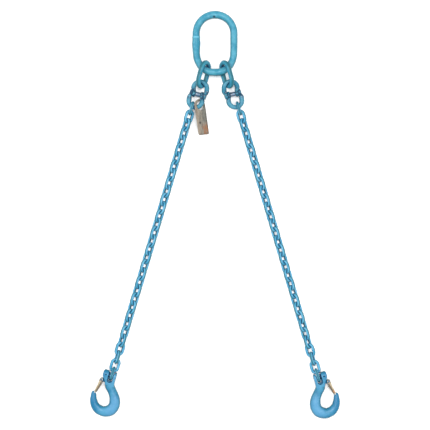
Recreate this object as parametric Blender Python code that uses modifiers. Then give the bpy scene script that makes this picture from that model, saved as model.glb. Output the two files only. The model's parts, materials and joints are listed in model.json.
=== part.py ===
"""Two-leg chain sling: master link, sub-links, coupling links, identity tag, chain and clevis sling hooks.

Metres, +Z up. The sling lies flat on z = 0 with the master link at +Y, the hooks at -Y, and its legs spread
to -X (left) and +X (right). Every link, coupling half, hook and latch hangs on an empty that stands on the
axis it turns about, and each empty is a child of the one before it, so a leg moves like a real one.
"""

import math

import bmesh
import bpy
from mathutils import Matrix, Vector

MM = 0.001
GAP = 0.3 * MM  # clearance between pieces that touch
LEFT, RIGHT = -1, 1

# Wire radii
MASTER_WIRE = 10.0 * MM
SUB_WIRE = 6.5 * MM
BOW_WIRE = 4.6 * MM  # at the bow's top, where the chain sits
LIMB_WIRE = 6.1 * MM
CHAIN_WIRE = 4.2 * MM  # 8 mm chain; the six-sided tube has the round wire's mean thickness

# Master link, an oblong of two half circles and two straights (centre line)
MASTER_RADIUS = 52.0 * MM
MASTER_STRAIGHT = 29.5 * MM  # half length
HANG_ANGLE = 33.5  # where the sub-links sit, in degrees from the bow's lowest point

# Sub-link, standing on edge around the master link
SUB_RADIUS = 21.0 * MM
SUB_STRAIGHT = 12.5 * MM
SUB_LEAN = 15.0
SUB_ROLL = -62.0
SUB_BEYOND_MASTER = 12.6 * MM  # from the master link's wire to the sub-link's middle
SUB_SLACK = 1.4 * MM

# Coupling half, a forged bow with two lugs on a common load pin
BOW_RADIUS = 18.5 * MM
BOW_STRAIGHT = 18.5 * MM  # from the load pin to the bow's centre
BOW_OFFSET = -2.5 * MM
BOW_SEAT = 36.0  # the wire is thinnest this far to both sides of the bow's top
OUTER_LIMB = ((-19.6, 1.0, 3.7), (-20.4, 8.5, 4.5), (-21.2, 14.5, 5.7))  # x, y, wire radius in mm
INNER_LIMB = ((15.0, 15.0, 5.2), (11.2, 9.6, 3.6), (11.2, 1.0, 3.3))
LUG_RADIUS = 8.2 * MM
LUG_WIDTH = 7.2 * MM
OUTER_LUG = -19.0 * MM
INNER_LUG = 11.2 * MM
COUPLING_PIN = 4.2 * MM
COUPLING_BORE = 4.6 * MM
COUPLING_PIN_LENGTH = 44.4 * MM
SLEEVE_RADIUS = 6.3 * MM
SLEEVE_LENGTH = 14.4 * MM
COUPLING_LEAN = {LEFT: 14.5, RIGHT: 13.5}
COUPLING_ROLL = 7.0
UPPER_RISE = 15.2  # how far the upper half climbs to the sub-link
LOWER_RISE = 1.0
CHAIN_SLACK = 1.3 * MM  # first link on the bow
SUB_ON_BOW = {LEFT: 2.0, RIGHT: -6.0}  # where on the upper bow the sub-link sits
CHAIN_ON_BOW = {LEFT: 17.0, RIGHT: 14.0}  # where on the lower bow the chain hangs

# Identity tag
TAG_WIDTH = 37.0 * MM
TAG_LENGTH = 99.0 * MM
TAG_THICKNESS = 2.4 * MM
TAG_HOLE = 12.0 * MM
TAG_RIM = 6.0 * MM
TAG_CHAMFER = 4.0 * MM
TAG_ON_BOW = -56.0
TAG_HEIGHT = 15.0 * MM
TAG_LEAN = -8.0
TAG_ROLL = -40.0
TAG_PITCH = -0.8
TAG_SWING_ACROSS = -45.0  # the axis the tag swings about on the wire, in the tag's own frame
TAG_SWING_UP = 30.0

# Chain
LINKS = 33
PITCH = 24.0 * MM
LINK_RADIUS = 9.9 * MM
FUSED = 7.0 * MM  # wire centre to wire centre where two links are one node
LOOSE = 2 * CHAIN_WIRE + GAP + 0.2 * MM  # the same where they are two
LEG_SLACK = {LEFT: 0.28 * MM, RIGHT: 0.0}  # how much looser a leg's links lie
LINK_STRAIGHT = (PITCH + (FUSED + LOOSE) / 2) / 2 - LINK_RADIUS
CHAIN_LEAN = {LEFT: 16.58, RIGHT: 16.42}
LINK_ROLL = 45.0
END_HEIGHT = LINK_RADIUS + CHAIN_WIRE + 0.1 * MM  # the last link stands upright on the floor
START_TWIST = (45.0, 12.0, 3.0, 0.0, 0.0)  # extra roll of the first links, from the bow down
END_TWIST = (45.0, 36.0, 27.0, 18.0, 9.0)  # the same of the last links, from the hook up
END_FALL = 1.2  # how steeply the segments nearest both ends slope; the next ones reach the floor's level

# Clevis sling hook, stations down its spine: x towards the opening, y up the leg, half width
HOOK_SPINE = (
    (-0.5, -15.0, 11.2),
    (-2.2, -27.0, 13.0),
    (-11.8, -38.0, 12.4),
    (-21.6, -50.3, 13.4),
    (-27.8, -62.5, 14.7),
    (-30.0, -75.5, 15.2),
    (-25.2, -89.8, 15.7),
    (-12.6, -98.4, 14.8),
    (-1.5, -100.4, 13.7),
    (11.6, -97.2, 12.9),
    (22.0, -89.0, 11.2),
    (28.5, -78.5, 9.4),
    (32.0, -68.5, 7.8),
    (34.0, -61.0, 6.2),
    (35.0, -56.5, 4.9),
    (35.4, -53.6, 3.2),
)
HOOK_FLATNESS = 0.74
HOOK_LEAN = {LEFT: 17.0, RIGHT: 17.0}
HOOK_BELLY = 15.7 * HOOK_FLATNESS * MM  # the hook's half height where it is thickest
HOOK_BELLY_REACH = 89.8 * MM
EAR_RADIUS = 11.0 * MM  # over and under the load pin
EAR_REACH = 11.4 * MM  # beyond the load pin, towards the chain
EAR_INSIDE = -12.9 * MM
EAR_OUTSIDE = 24.6 * MM
EAR_SPREAD = (-20.0, 200.0)  # the part of a circle that the ears' round end covers, in degrees
NECK_END = -27.0 * MM
NECK_HALF_HEIGHT = 9.6 * MM
CLEVIS_PLAN = (  # x, y in mm; the inner corners clear the crossed link
    (-12.9, 8.0),
    (-10.3, 11.6),
    (-6.0, 9.4),
    (6.0, 9.4),
    (11.0, 12.4),
    (20.5, 12.4),
    (23.8, 8.0),
    (24.6, 0.0),
    (18.6, -13.0),
    (12.5, -26.0),
    (-14.6, -26.0),
    (-12.9, -12.0),
)
CLEVIS_SLOT = 6.4 * MM
SLOT_FLOOR = -12.0 * MM
HOOK_PIN = 4.5 * MM
HOOK_BORE = 4.9 * MM
ROLL_PIN = 1.6 * MM
ROLL_PIN_BORE = 1.95 * MM
ROLL_PIN_X = 16.0 * MM

# Latch
LATCH_PIVOT = (24.6 * MM, -16.8 * MM)
LATCH_LEAN = 6.8
LATCH_ROOT = 4.8 * MM
LUG_FOR_LATCH = 4.9 * MM
LATCH_HALF_WIDTH = 5.9 * MM
LATCH_SHEET = 1.5 * MM
LATCH_SHOULDER = (4.6 * MM, -8.0 * MM)  # the web's upper end
LATCH_TIP = (2.6 * MM, -37.5 * MM)
LATCH_CHEEKS = ((-4.6 * MM, -9.0 * MM), (-2.2 * MM, -36.5 * MM))  # their inner edge
LATCH_HOLLOW = 12.0 * MM  # clear of the outline on every open side
LATCH_LUG = 3.9 * MM
LATCH_PIN = 1.9 * MM
LATCH_BORE = 2.2 * MM
LATCH_PIN_HALF = 12.0 * MM
SPRING_WIRE = 0.7 * MM
SPRING_RADIUS = 3.7 * MM
SPRING_START = 7.0 * MM
SPRING_PITCH = 1.7 * MM
SPRING_TURNS = 2

BLUE = (0.06, 0.36, 0.56)
STEEL = (0.33, 0.33, 0.34)
TAG_STEEL = (0.36, 0.33, 0.28)
ZINC = (0.62, 0.52, 0.30)
SPRING_STEEL = (0.70, 0.70, 0.68)


# ---------------------------------------------------------------- meshes


def evaluated_mesh(thing):
    """The mesh a linked object evaluates to. The object and its own data are removed."""
    bpy.context.scene.collection.objects.link(thing)
    depsgraph = bpy.context.evaluated_depsgraph_get()
    mesh = bpy.data.meshes.new_from_object(thing.evaluated_get(depsgraph))
    bpy.data.objects.remove(thing)
    return mesh


def welded(mesh):
    shape = bmesh.new()
    shape.from_mesh(mesh)
    bmesh.ops.remove_doubles(shape, verts=shape.verts, dist=1e-6)
    bmesh.ops.recalc_face_normals(shape, faces=shape.faces)
    shape.to_mesh(mesh)
    shape.free()
    return mesh


def tube(points, radii, resolution, closed=False):
    """A wire of changing radius along some points, with 2 * resolution + 4 sides."""
    curve = bpy.data.curves.new("wire", "CURVE")
    curve.dimensions = "3D"
    curve.bevel_depth = 1.0
    curve.bevel_resolution = resolution
    curve.use_fill_caps = not closed
    spline = curve.splines.new("POLY")
    spline.points.add(len(points) - 1)
    spline.use_cyclic_u = closed
    for knot, point, radius in zip(spline.points, points, radii):
        knot.co = (*point, 1.0)
        knot.radius = radius
    return welded(evaluated_mesh(bpy.data.objects.new("wire", curve)))


def slab(outline, half_thickness):
    """A flat outline in X and Y, extruded both ways along Z."""
    curve = bpy.data.curves.new("outline", "CURVE")
    curve.dimensions = "2D"
    curve.fill_mode = "BOTH"
    curve.extrude = half_thickness
    spline = curve.splines.new("POLY")
    spline.points.add(len(outline) - 1)
    spline.use_cyclic_u = True
    for knot, (x, y) in zip(spline.points, outline):
        knot.co = (x, y, 0.0, 1.0)
    return welded(evaluated_mesh(bpy.data.objects.new("outline", curve)))


def cylinder(radius, length, sides, matrix):
    """A cylinder along its own Z, then placed by a matrix."""
    shape = bmesh.new()
    bmesh.ops.create_cone(
        shape, cap_ends=True, segments=sides, radius1=radius, radius2=radius, depth=length
    )
    mesh = bpy.data.meshes.new("cylinder")
    shape.to_mesh(mesh)
    shape.free()
    mesh.transform(matrix)
    return mesh


def box(low, high):
    shape = bmesh.new()
    bmesh.ops.create_cube(shape, size=1.0)
    mesh = bpy.data.meshes.new("box")
    shape.to_mesh(mesh)
    shape.free()
    low, high = Vector(low), Vector(high)
    mesh.transform(Matrix.Translation((low + high) / 2) @ Matrix.Diagonal((*(high - low), 1.0)))
    return mesh


def turned(profile, steps):
    """A profile of (radius, height) pairs, top to bottom, turned about Z."""
    mesh = bpy.data.meshes.new("profile")
    edges = [(i, i + 1) for i in range(len(profile) - 1)]
    mesh.from_pydata([(radius, 0.0, height) for radius, height in profile], edges, [])
    thing = bpy.data.objects.new("profile", mesh)
    screw = thing.modifiers.new("turn", "SCREW")
    screw.axis = "Z"
    screw.steps = steps
    screw.render_steps = steps
    screw.use_merge_vertices = True
    screw.merge_threshold = 1e-6
    return welded(evaluated_mesh(thing))


def combined(mesh, other, operation):
    """One mesh from a Boolean of two."""
    tool = bpy.data.objects.new("tool", other)
    bpy.context.scene.collection.objects.link(tool)
    thing = bpy.data.objects.new("body", mesh)
    boolean = thing.modifiers.new("boolean", "BOOLEAN")
    boolean.operation = operation
    boolean.object = tool
    result = evaluated_mesh(thing)
    bpy.data.objects.remove(tool)
    return result


def arc(centre, radius, start, end, steps):
    """Points on a circle in X and Y, from one angle to another in degrees, both ends included."""
    angles = [math.radians(start + (end - start) * i / steps) for i in range(steps + 1)]
    return [
        Vector((centre[0] + radius * math.cos(a), centre[1] + radius * math.sin(a), 0.0))
        for a in angles
    ]


def oblong(straight, radius, steps):
    """The centre line of an oblong ring that is longest along Y."""
    top = arc((0.0, straight), radius, 0, 180, steps)
    return top + arc((0.0, -straight), radius, 180, 360, steps)


def smooth(stations, between):
    """A Catmull-Rom curve through some stations, with new ones between each two."""
    rows = [Vector(s) for s in stations]
    rows = [2 * rows[0] - rows[1], *rows, 2 * rows[-1] - rows[-2]]
    out = []
    for a, b, c, d in zip(rows, rows[1:], rows[2:], rows[3:]):
        for i in range(between + 1):
            t = i / (between + 1)
            slope_b, slope_c = (c - a) / 2, (d - b) / 2
            bend = (1 + 2 * t) * (1 - t) ** 2 * b + t * t * (3 - 2 * t) * c
            out.append(bend + t * (1 - t) ** 2 * slope_b - t * t * (1 - t) * slope_c)
    return [*out, rows[-2]]


# ---------------------------------------------------------------- placing


def turn(axis, degrees):
    return Matrix.Rotation(math.radians(degrees), 4, axis)


def frame(side, point, lean, pitch=0.0, roll=0.0):
    """A leg's frame: +X away from the sling's middle on the right leg, -Y down the leg.

    Lean swings -Y outwards, pitch tips it down, and roll turns the frame about it, mirrored on the left leg.
    """
    tipped = turn("Z", side * lean) @ turn("X", pitch)
    return Matrix.Translation(point) @ tipped @ turn("Y", side * roll)


def facing(side):
    """Turns a piece over on the left leg, so that its +X also faces outwards there."""
    return turn("Y", 180.0 if side == LEFT else 0.0)


class Sling:
    """Collects the sling's objects under one root empty."""

    def __init__(self):
        self.collection = bpy.data.collections.new("two_leg_chain_sling")
        bpy.context.scene.collection.children.link(self.collection)
        self.world = {}
        self.materials = {}
        self.root = self.add(bpy.data.objects.new("sling", None), Matrix(), None)

    def add(self, thing, world, parent):
        self.collection.objects.link(thing)
        self.world[thing.name] = world
        thing.parent = parent
        local = self.world[parent.name].inverted() @ world if parent else world
        thing.location = local.to_translation()
        thing.rotation_mode = "QUATERNION"
        thing.rotation_quaternion = local.to_quaternion()
        return thing

    def axis(self, name, world, parent):
        """An empty whose X axis is what the pieces below it turn about."""
        empty = bpy.data.objects.new(name, None)
        empty.empty_display_type = "ARROWS"
        empty.empty_display_size = 10 * MM
        return self.add(empty, world, parent)

    def piece(self, name, mesh, world, parent, colour, metallic, roughness):
        thing = bpy.data.objects.new(name, mesh)
        if not mesh.materials:
            mesh.materials.append(self.material(name, colour, metallic, roughness))
        thing.data.shade_smooth()
        thing.data.set_sharp_from_angle(angle=math.radians(50))
        return self.add(thing, world, parent)

    def material(self, name, colour, metallic, roughness):
        material = bpy.data.materials.new(name)
        material.use_nodes = True
        shader = material.node_tree.nodes["Principled BSDF"]
        shader.inputs["Base Color"].default_value = (*colour, 1.0)
        shader.inputs["Metallic"].default_value = metallic
        shader.inputs["Roughness"].default_value = roughness
        return material

    def painted(self, name, mesh, world, parent):
        return self.piece(name, mesh, world, parent, BLUE, 0.0, 0.4)

    def metal(self, name, mesh, world, parent, colour):
        return self.piece(name, mesh, world, parent, colour, 1.0, 0.4)

    def stand_on_origin(self):
        """Moves the root so that the sling's box stands on the origin, centred."""
        low = Vector((1e9,) * 3)
        high = Vector((-1e9,) * 3)
        for thing in self.collection.objects:
            if thing.type != "MESH":
                continue
            for vertex in thing.data.vertices:
                spot = self.world[thing.name] @ vertex.co
                low = Vector(map(min, low, spot))
                high = Vector(map(max, high, spot))
        self.root.location = -Vector(((low.x + high.x) / 2, (low.y + high.y) / 2, low.z))


# ---------------------------------------------------------------- shapes


def ring(straight, radius, wire, steps, resolution):
    points = oblong(straight, radius, steps)
    return tube(points, [wire] * len(points), resolution, closed=True)


def bow_point(angle):
    """A point on a coupling half's bow, its angle counted from the bow's top towards +X."""
    turned_by = math.radians(angle)
    x = BOW_OFFSET + BOW_RADIUS * math.sin(turned_by)
    return Vector((x, BOW_STRAIGHT + BOW_RADIUS * math.cos(turned_by), 0.0))


def coupling_half():
    """A bow with an outer lug at -X and an inner lug at +X, both bored along X."""
    limbs = [Vector(station) * MM for station in OUTER_LIMB]
    for angle in range(-90, 91, 15):
        swell = max(0.0, abs(angle) - BOW_SEAT) / (90.0 - BOW_SEAT)
        point = bow_point(angle)
        limbs.append(Vector((point.x, point.y, BOW_WIRE + (LIMB_WIRE - BOW_WIRE) * swell)))
    limbs += [Vector(station) * MM for station in INNER_LIMB]
    mesh = tube([(p.x, p.y, 0.0) for p in limbs], [p.z for p in limbs], 2)
    for x in (OUTER_LUG, INNER_LUG):
        across = Matrix.Translation((x, 0.0, 0.0)) @ turn("Y", 90)
        mesh = combined(mesh, cylinder(LUG_RADIUS, LUG_WIDTH, 16, across), "UNION")
    return combined(mesh, cylinder(COUPLING_BORE, 80 * MM, 16, turn("Y", 90)), "DIFFERENCE")


def coupling_sleeve():
    half = SLEEVE_LENGTH / 2
    profile = [
        (SLEEVE_RADIUS, half),
        (SLEEVE_RADIUS, -half),
        (COUPLING_BORE, -half),
        (COUPLING_BORE, half),
        (SLEEVE_RADIUS, half),
    ]
    mesh = turned(profile, 14)
    mesh.transform(turn("Y", 90))
    return mesh


def identity_tag():
    """A plate with a round top and a large round hole. Its origin is the hole's centre."""
    half = TAG_WIDTH / 2
    top = TAG_HOLE + TAG_RIM
    foot = top - TAG_LENGTH
    outline = [(p.x, p.y) for p in arc((0.0, 0.0), half, 0, 180, 12)]
    outline += [
        (-half, foot + TAG_CHAMFER),
        (-half + TAG_CHAMFER, foot),
        (half - TAG_CHAMFER, foot),
        (half, foot + TAG_CHAMFER),
    ]
    hole = cylinder(TAG_HOLE, 20 * MM, 20, Matrix())
    return combined(slab(outline, TAG_THICKNESS / 2), hole, "DIFFERENCE")


def chain_link():
    return ring(LINK_STRAIGHT, LINK_RADIUS, CHAIN_WIRE, 6, 1)


def chain_pair(roll):
    """Two links in one, the second rolled and one pitch further down -Y. The origin is the first one's."""
    second = chain_link()
    down = 2 * (LINK_STRAIGHT + LINK_RADIUS) - FUSED
    second.transform(Matrix.Translation((0.0, -down, 0.0)) @ turn("Y", roll))
    return combined(chain_link(), second, "UNION")


def clevis():
    """The hook's two ears and neck before its slot is cut: rounded over the load pin, tapered to the neck."""
    ends = arc((0.0, 0.0), EAR_RADIUS, *EAR_SPREAD, 12)
    profile = [(p.x, p.y * EAR_REACH / EAR_RADIUS) for p in ends]
    profile += [(-NECK_HALF_HEIGHT, NECK_END), (NECK_HALF_HEIGHT, NECK_END)]
    side_view = slab(profile, 60 * MM)
    # the profile's X becomes Z and its thickness runs along X
    side_view.transform(turn("Y", -90))
    plan = [(x * MM, y * MM) for x, y in CLEVIS_PLAN]
    return combined(side_view, slab(plan, 30 * MM), "INTERSECT")


def hook_body():
    spine = smooth([Vector((x, y, half)) * MM for x, y, half in HOOK_SPINE], 1)
    mesh = tube([(p.x, p.y, 0.0) for p in spine], [p.z for p in spine], 3)
    mesh.transform(Matrix.Diagonal((1.0, 1.0, HOOK_FLATNESS, 1.0)))
    mesh = combined(mesh, clevis(), "UNION")
    pivot = Vector((*LATCH_PIVOT, 0.0))
    lug = cylinder(LUG_FOR_LATCH, 2 * LATCH_LUG, 14, Matrix.Translation(pivot))
    thinner = LATCH_LUG - 0.1 * MM
    web = box(
        (10 * MM, pivot.y - LUG_FOR_LATCH, -thinner),
        (pivot.x, pivot.y + LUG_FOR_LATCH, thinner),
    )
    mesh = combined(mesh, combined(lug, web, "UNION"), "UNION")
    slot = combined(
        box((-CLEVIS_SLOT, SLOT_FLOOR, -40 * MM), (CLEVIS_SLOT, 40 * MM, 40 * MM)),
        cylinder(CLEVIS_SLOT * 0.999, 79 * MM, 16, Matrix.Translation((0.0, SLOT_FLOOR, 0.0))),
        "UNION",
    )
    cuts = [
        slot,
        cylinder(HOOK_BORE, 90 * MM, 16, turn("Y", 90)),
        cylinder(ROLL_PIN_BORE, 60 * MM, 8, Matrix.Translation((ROLL_PIN_X, 0.0, 0.0))),
        cylinder(LATCH_BORE, 30 * MM, 10, Matrix.Translation(pivot)),
    ]
    for cut in cuts:
        mesh = combined(mesh, cut, "DIFFERENCE")
    return mesh


def hook_load_pin():
    length = EAR_OUTSIDE - EAR_INSIDE - 2.0 * MM
    middle = Matrix.Translation(((EAR_OUTSIDE + EAR_INSIDE) / 2, 0.0, 0.0))
    pin = cylinder(HOOK_PIN, length, 16, middle @ turn("Y", 90))
    cross = cylinder(ROLL_PIN_BORE, 60 * MM, 8, Matrix.Translation((ROLL_PIN_X, 0.0, 0.0)))
    return combined(pin, cross, "DIFFERENCE")


def latch():
    """A channel bent from sheet: its web faces outwards, its two cheeks straddle the hook's lug."""
    outline = [(p.x, p.y) for p in arc((0.0, 0.0), LATCH_ROOT, 0, 180, 7)]
    mesh = slab([*outline, *LATCH_CHEEKS, LATCH_TIP, LATCH_SHOULDER], LATCH_HALF_WIDTH)
    web_top = LATCH_SHOULDER[1] + 1.1 * MM
    below = LATCH_TIP[1] - 2 * MM
    inside = [
        (-LATCH_HOLLOW, LATCH_HOLLOW),
        (LATCH_HOLLOW, LATCH_HOLLOW),
        (LATCH_HOLLOW, web_top),
        (LATCH_SHOULDER[0] - LATCH_SHEET, web_top),
        (LATCH_TIP[0] - LATCH_SHEET, below),
        (-LATCH_HOLLOW, below),
    ]
    mesh = combined(mesh, slab(inside, LATCH_HALF_WIDTH - LATCH_SHEET), "DIFFERENCE")
    return combined(mesh, cylinder(LATCH_BORE, 30 * MM, 10, Matrix()), "DIFFERENCE")


def latch_pin():
    head = LATCH_PIN + 0.7 * MM
    top = LATCH_PIN_HALF
    inner = top - 0.8 * MM
    upper = [(0.0, top), (head, top), (head, inner), (LATCH_PIN, inner)]
    return turned(upper + [(radius, -height) for radius, height in reversed(upper)], 12)


def latch_spring():
    """A double torsion spring in the latch's frame: a coil over each cheek, joined under the latch."""
    per_turn = 8
    reach = 13.0 * MM
    under = -5.2 * MM
    coil = []
    for i in range(SPRING_TURNS * per_turn + 1):
        angle = math.radians(180 + 360 * i / per_turn)
        height = SPRING_START + SPRING_PITCH * i / per_turn
        x, y = SPRING_RADIUS * math.cos(angle), SPRING_RADIUS * math.sin(angle)
        coil.append(Vector((x, y, height)))
    tail = coil[-1] + Vector((0.0, 5.0 * MM, 0.0))
    shank = Vector((under, -reach, SPRING_START))
    bend = shank + Vector((0.0, 1.0 * MM, 0.0))
    half = [tail, *reversed(coil), bend, shank - Vector((0.0, 0.0, 1.5 * MM))]
    other = [Vector((p.x, p.y, -p.z)) for p in reversed(half)]
    points = half + other
    return tube(points, [SPRING_WIRE] * len(points), 1)


# ---------------------------------------------------------------- assembly


def add_master(sling):
    reach = MASTER_STRAIGHT + MASTER_RADIUS * math.cos(math.radians(HANG_ANGLE))
    sub_height = SUB_WIRE + SUB_RADIUS * math.sin(math.radians(-SUB_ROLL))
    tip = MASTER_STRAIGHT + MASTER_RADIUS
    rise = math.asin((sub_height - MASTER_WIRE) / (tip + reach))
    middle = Matrix.Translation((0.0, tip, MASTER_WIRE + tip * math.sin(rise)))
    world = middle @ turn("X", -math.degrees(rise))
    mesh = ring(MASTER_STRAIGHT, MASTER_RADIUS, MASTER_WIRE, 13, 3)
    sling.painted("master_link", mesh, world, sling.root)
    return world


def add_sub_link(sling, side, name, master, mesh):
    """The sub-link hinges on the master link's wire. Returns its axis empty and its frame."""
    angle = math.radians(HANG_ANGLE)
    across = side * MASTER_RADIUS * math.sin(angle)
    wire = master @ Vector((across, -MASTER_STRAIGHT - MASTER_RADIUS * math.cos(angle), 0.0))
    # the right axis points the other way, so that equal turns keep the two legs apart
    along = side * HANG_ANGLE + (180.0 if side == RIGHT else 0.0)
    hinge = Matrix.Translation(wire) @ master.to_3x3().to_4x4() @ turn("Z", along)
    empty = sling.axis(f"{name}_sub_link_axis", hinge, sling.root)
    leaning = frame(side, wire, SUB_LEAN, 0.0, SUB_ROLL)
    world = leaning @ Matrix.Translation((0.0, -SUB_BEYOND_MASTER, 0.0))
    sling.painted(f"{name}_sub_link", mesh, world, empty)
    return empty, world


def add_coupling(sling, side, name, sub_axis, sub, mesh, sleeve):
    """Both halves, the load pin and its sleeve. Returns the lower half's empty and frame."""
    seat = SUB_STRAIGHT + SUB_RADIUS - SUB_WIRE - BOW_WIRE - SUB_SLACK
    held = sub @ Vector((0.0, -seat, 0.0))
    flat = turn("Z", side * COUPLING_LEAN[side]) @ turn("Y", side * COUPLING_ROLL) @ facing(side)
    climb = turn("X", side * UPPER_RISE)
    on_bow = bow_point(SUB_ON_BOW[side])
    pin = Matrix.Translation(held - (flat @ climb) @ on_bow) @ flat
    upper = pin @ climb
    crown = sub @ Vector((0.0, -SUB_STRAIGHT - SUB_RADIUS, 0.0))
    hinge = Matrix.Translation(crown) @ sub.to_3x3().to_4x4()
    upper_axis = sling.axis(f"{name}_coupling_upper_axis", hinge, sub_axis)
    sling.painted(f"{name}_coupling_upper_half", mesh, upper, upper_axis)
    bar = cylinder(COUPLING_PIN, COUPLING_PIN_LENGTH, 16, turn("Y", 90))
    sling.metal(f"{name}_coupling_pin", bar, pin, upper_axis, STEEL)
    sling.metal(f"{name}_coupling_sleeve", sleeve, pin, upper_axis, STEEL)
    lower_axis = sling.axis(f"{name}_coupling_lower_axis", pin, upper_axis)
    lower = pin @ turn("X", -side * LOWER_RISE) @ turn("Z", 180)
    sling.painted(f"{name}_coupling_lower_half", mesh, lower, lower_axis)
    return lower_axis, lower


def add_tag(sling, lower_axis, lower):
    """The tag hangs on the left lower half's bow and lies tipped, one edge on the bow, the other low."""
    wire = lower @ bow_point(-TAG_ON_BOW)
    hole = Vector((wire.x, wire.y, TAG_HEIGHT))
    world = frame(LEFT, hole, TAG_LEAN, TAG_PITCH, TAG_ROLL)
    swing = turn("Z", TAG_SWING_ACROSS) @ turn("Y", -TAG_SWING_UP)
    hinge = Matrix.Translation(wire) @ world.to_3x3().to_4x4() @ swing
    empty = sling.axis("identity_tag_axis", hinge, lower_axis)
    sling.metal("identity_tag", identity_tag(), world, empty, TAG_STEEL)


def link_rolls():
    """Each link's roll about the chain: crossed links at 45 degrees, twisted upright at both ends."""
    rolls = [LINK_ROLL + 90.0 * k for k in range(LINKS)]
    for k, (first, last) in enumerate(zip(START_TWIST, END_TWIST)):
        rolls[k] += first
        rolls[-1 - k] += last
    return rolls


def segment_pitches(segments, start):
    """How far each segment of two links tips down: the ends slope between the fittings and the floor."""
    reach = 4 * (LINK_STRAIGHT + LINK_RADIUS) - FUSED - LOOSE
    level = LINK_RADIUS * math.sin(math.radians(LINK_ROLL)) + CHAIN_WIRE
    left_over = reach * math.sin(math.radians(END_FALL))
    pitches = [0.0] * segments
    pitches[0] = END_FALL
    pitches[1] = math.degrees(math.asin((start - left_over - level) / reach))
    pitches[-2] = -END_FALL
    pitches[-3] = -math.degrees(math.asin((END_HEIGHT - left_over - level) / reach))
    return pitches


def add_chain(sling, side, name, lower_axis, lower, meshes):
    """Segments of two links, each hinged on the crown of the one before. Returns the last empty and frame."""
    rolls = link_rolls()
    starts = list(range(0, LINKS, 2))
    half = LINK_STRAIGHT + LINK_RADIUS
    bow = lower @ bow_point(-CHAIN_ON_BOW[side])
    tangent = Matrix.Translation(bow) @ lower.to_3x3().to_4x4() @ turn("Z", CHAIN_ON_BOW[side])
    parent = lower_axis
    hinge = tangent
    crown = bow
    clearance = BOW_WIRE + CHAIN_WIRE + GAP + CHAIN_SLACK
    last_roll = 0.0
    for number, (first, pitch) in enumerate(zip(starts, segment_pitches(len(starts), bow.z))):
        lean = CHAIN_LEAN[side]
        level = frame(side, crown, lean, pitch)
        start = level @ Vector((0.0, clearance, 0.0))
        if number % 2:
            # this segment turns about the crown wire of the one before it
            hinge = frame(side, crown, lean, pitch, last_roll)
        elif number:
            # this segment's own crown wire turns inside the one before it
            hinge = frame(side, start, lean, pitch, rolls[first])
        if number % 4 > 1:
            # every other pair of axes points the other way, so that equal turns make a zigzag, not a curl
            hinge = hinge @ turn("Z", 180)
        empty = sling.axis(f"{name}_chain_axis_{number + 1:02d}", hinge, parent)
        centre = frame(side, start, lean, pitch) @ Vector((0.0, -half, 0.0))
        world = frame(side, centre, lean, pitch, rolls[first])
        if first + 1 < LINKS:
            step = rolls[first + 1] - rolls[first]
            if (side, step) not in meshes:
                meshes[side, step] = chain_pair(side * step)
            piece = sling.painted(f"{name}_chain_{number + 1:02d}", meshes[side, step], world, empty)
            reach = 2 * half + 2 * half - FUSED
            last_roll = rolls[first + 1]
        else:
            piece = sling.painted(f"{name}_chain_{number + 1:02d}", chain_link(), world, empty)
            reach = 2 * half
            last_roll = rolls[first]
        crown = frame(side, start, lean, pitch) @ Vector((0.0, -reach, 0.0))
        parent = empty
        clearance = LOOSE + LEG_SLACK[side]
    return parent, frame(side, crown, CHAIN_LEAN[side], 0.0)


def add_hook(sling, side, name, parent, end, meshes):
    """The hook on its load pin, and the latch on its own."""
    inside = CHAIN_WIRE + HOOK_PIN + GAP
    pin = (end @ Matrix.Translation((0.0, inside, 0.0))).to_translation()
    fall = math.degrees(math.asin((pin.z - HOOK_BELLY) / HOOK_BELLY_REACH))
    world = frame(side, pin, HOOK_LEAN[side], fall) @ facing(side)
    empty = sling.axis(f"{name}_hook_axis", world, parent)
    sling.painted(f"{name}_hook", meshes["hook"], world, empty)
    sling.metal(f"{name}_hook_load_pin", meshes["load_pin"], world, empty, STEEL)
    roll = world @ Matrix.Translation((ROLL_PIN_X, 0.0, 0.0))
    sling.metal(f"{name}_hook_roll_pin", meshes["roll_pin"], roll, empty, STEEL)
    pivot = world @ Matrix.Translation((*LATCH_PIVOT, 0.0))
    hung = pivot @ turn("Z", LATCH_LEAN)
    sling.metal(f"{name}_latch_pin", meshes["latch_pin"], pivot, empty, STEEL)
    sling.metal(f"{name}_latch_spring", meshes["latch_spring"], hung, empty, SPRING_STEEL)
    latch_axis = sling.axis(f"{name}_latch_axis", pivot @ turn("Y", -90), empty)
    sling.metal(f"{name}_latch", meshes["latch"], hung, latch_axis, ZINC)


def main():
    for thing in list(bpy.data.objects):
        bpy.data.objects.remove(thing)
    sling = Sling()
    master = add_master(sling)
    sub_mesh = ring(SUB_STRAIGHT, SUB_RADIUS, SUB_WIRE, 8, 3)
    half_mesh = coupling_half()
    sleeve_mesh = coupling_sleeve()
    pair_meshes = {}
    hook_meshes = {
        "hook": hook_body(),
        "load_pin": hook_load_pin(),
        "roll_pin": cylinder(ROLL_PIN, 2 * EAR_RADIUS - 1.6 * MM, 8, Matrix()),
        "latch_pin": latch_pin(),
        "latch_spring": latch_spring(),
        "latch": latch(),
    }
    for side, name in ((LEFT, "left"), (RIGHT, "right")):
        sub_axis, sub = add_sub_link(sling, side, name, master, sub_mesh)
        lower_axis, lower = add_coupling(sling, side, name, sub_axis, sub, half_mesh, sleeve_mesh)
        if side == LEFT:
            add_tag(sling, lower_axis, lower)
        chain_end, end = add_chain(sling, side, name, lower_axis, lower, pair_meshes)
        add_hook(sling, side, name, chain_end, end, hook_meshes)
    sling.stand_on_origin()


main()
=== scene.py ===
"""Looks of a two-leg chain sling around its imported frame: forged and welded shapes, paint, steel and rust."""
import json
import math

import bmesh
import bpy
from mathutils import Matrix, Vector, noise


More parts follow.
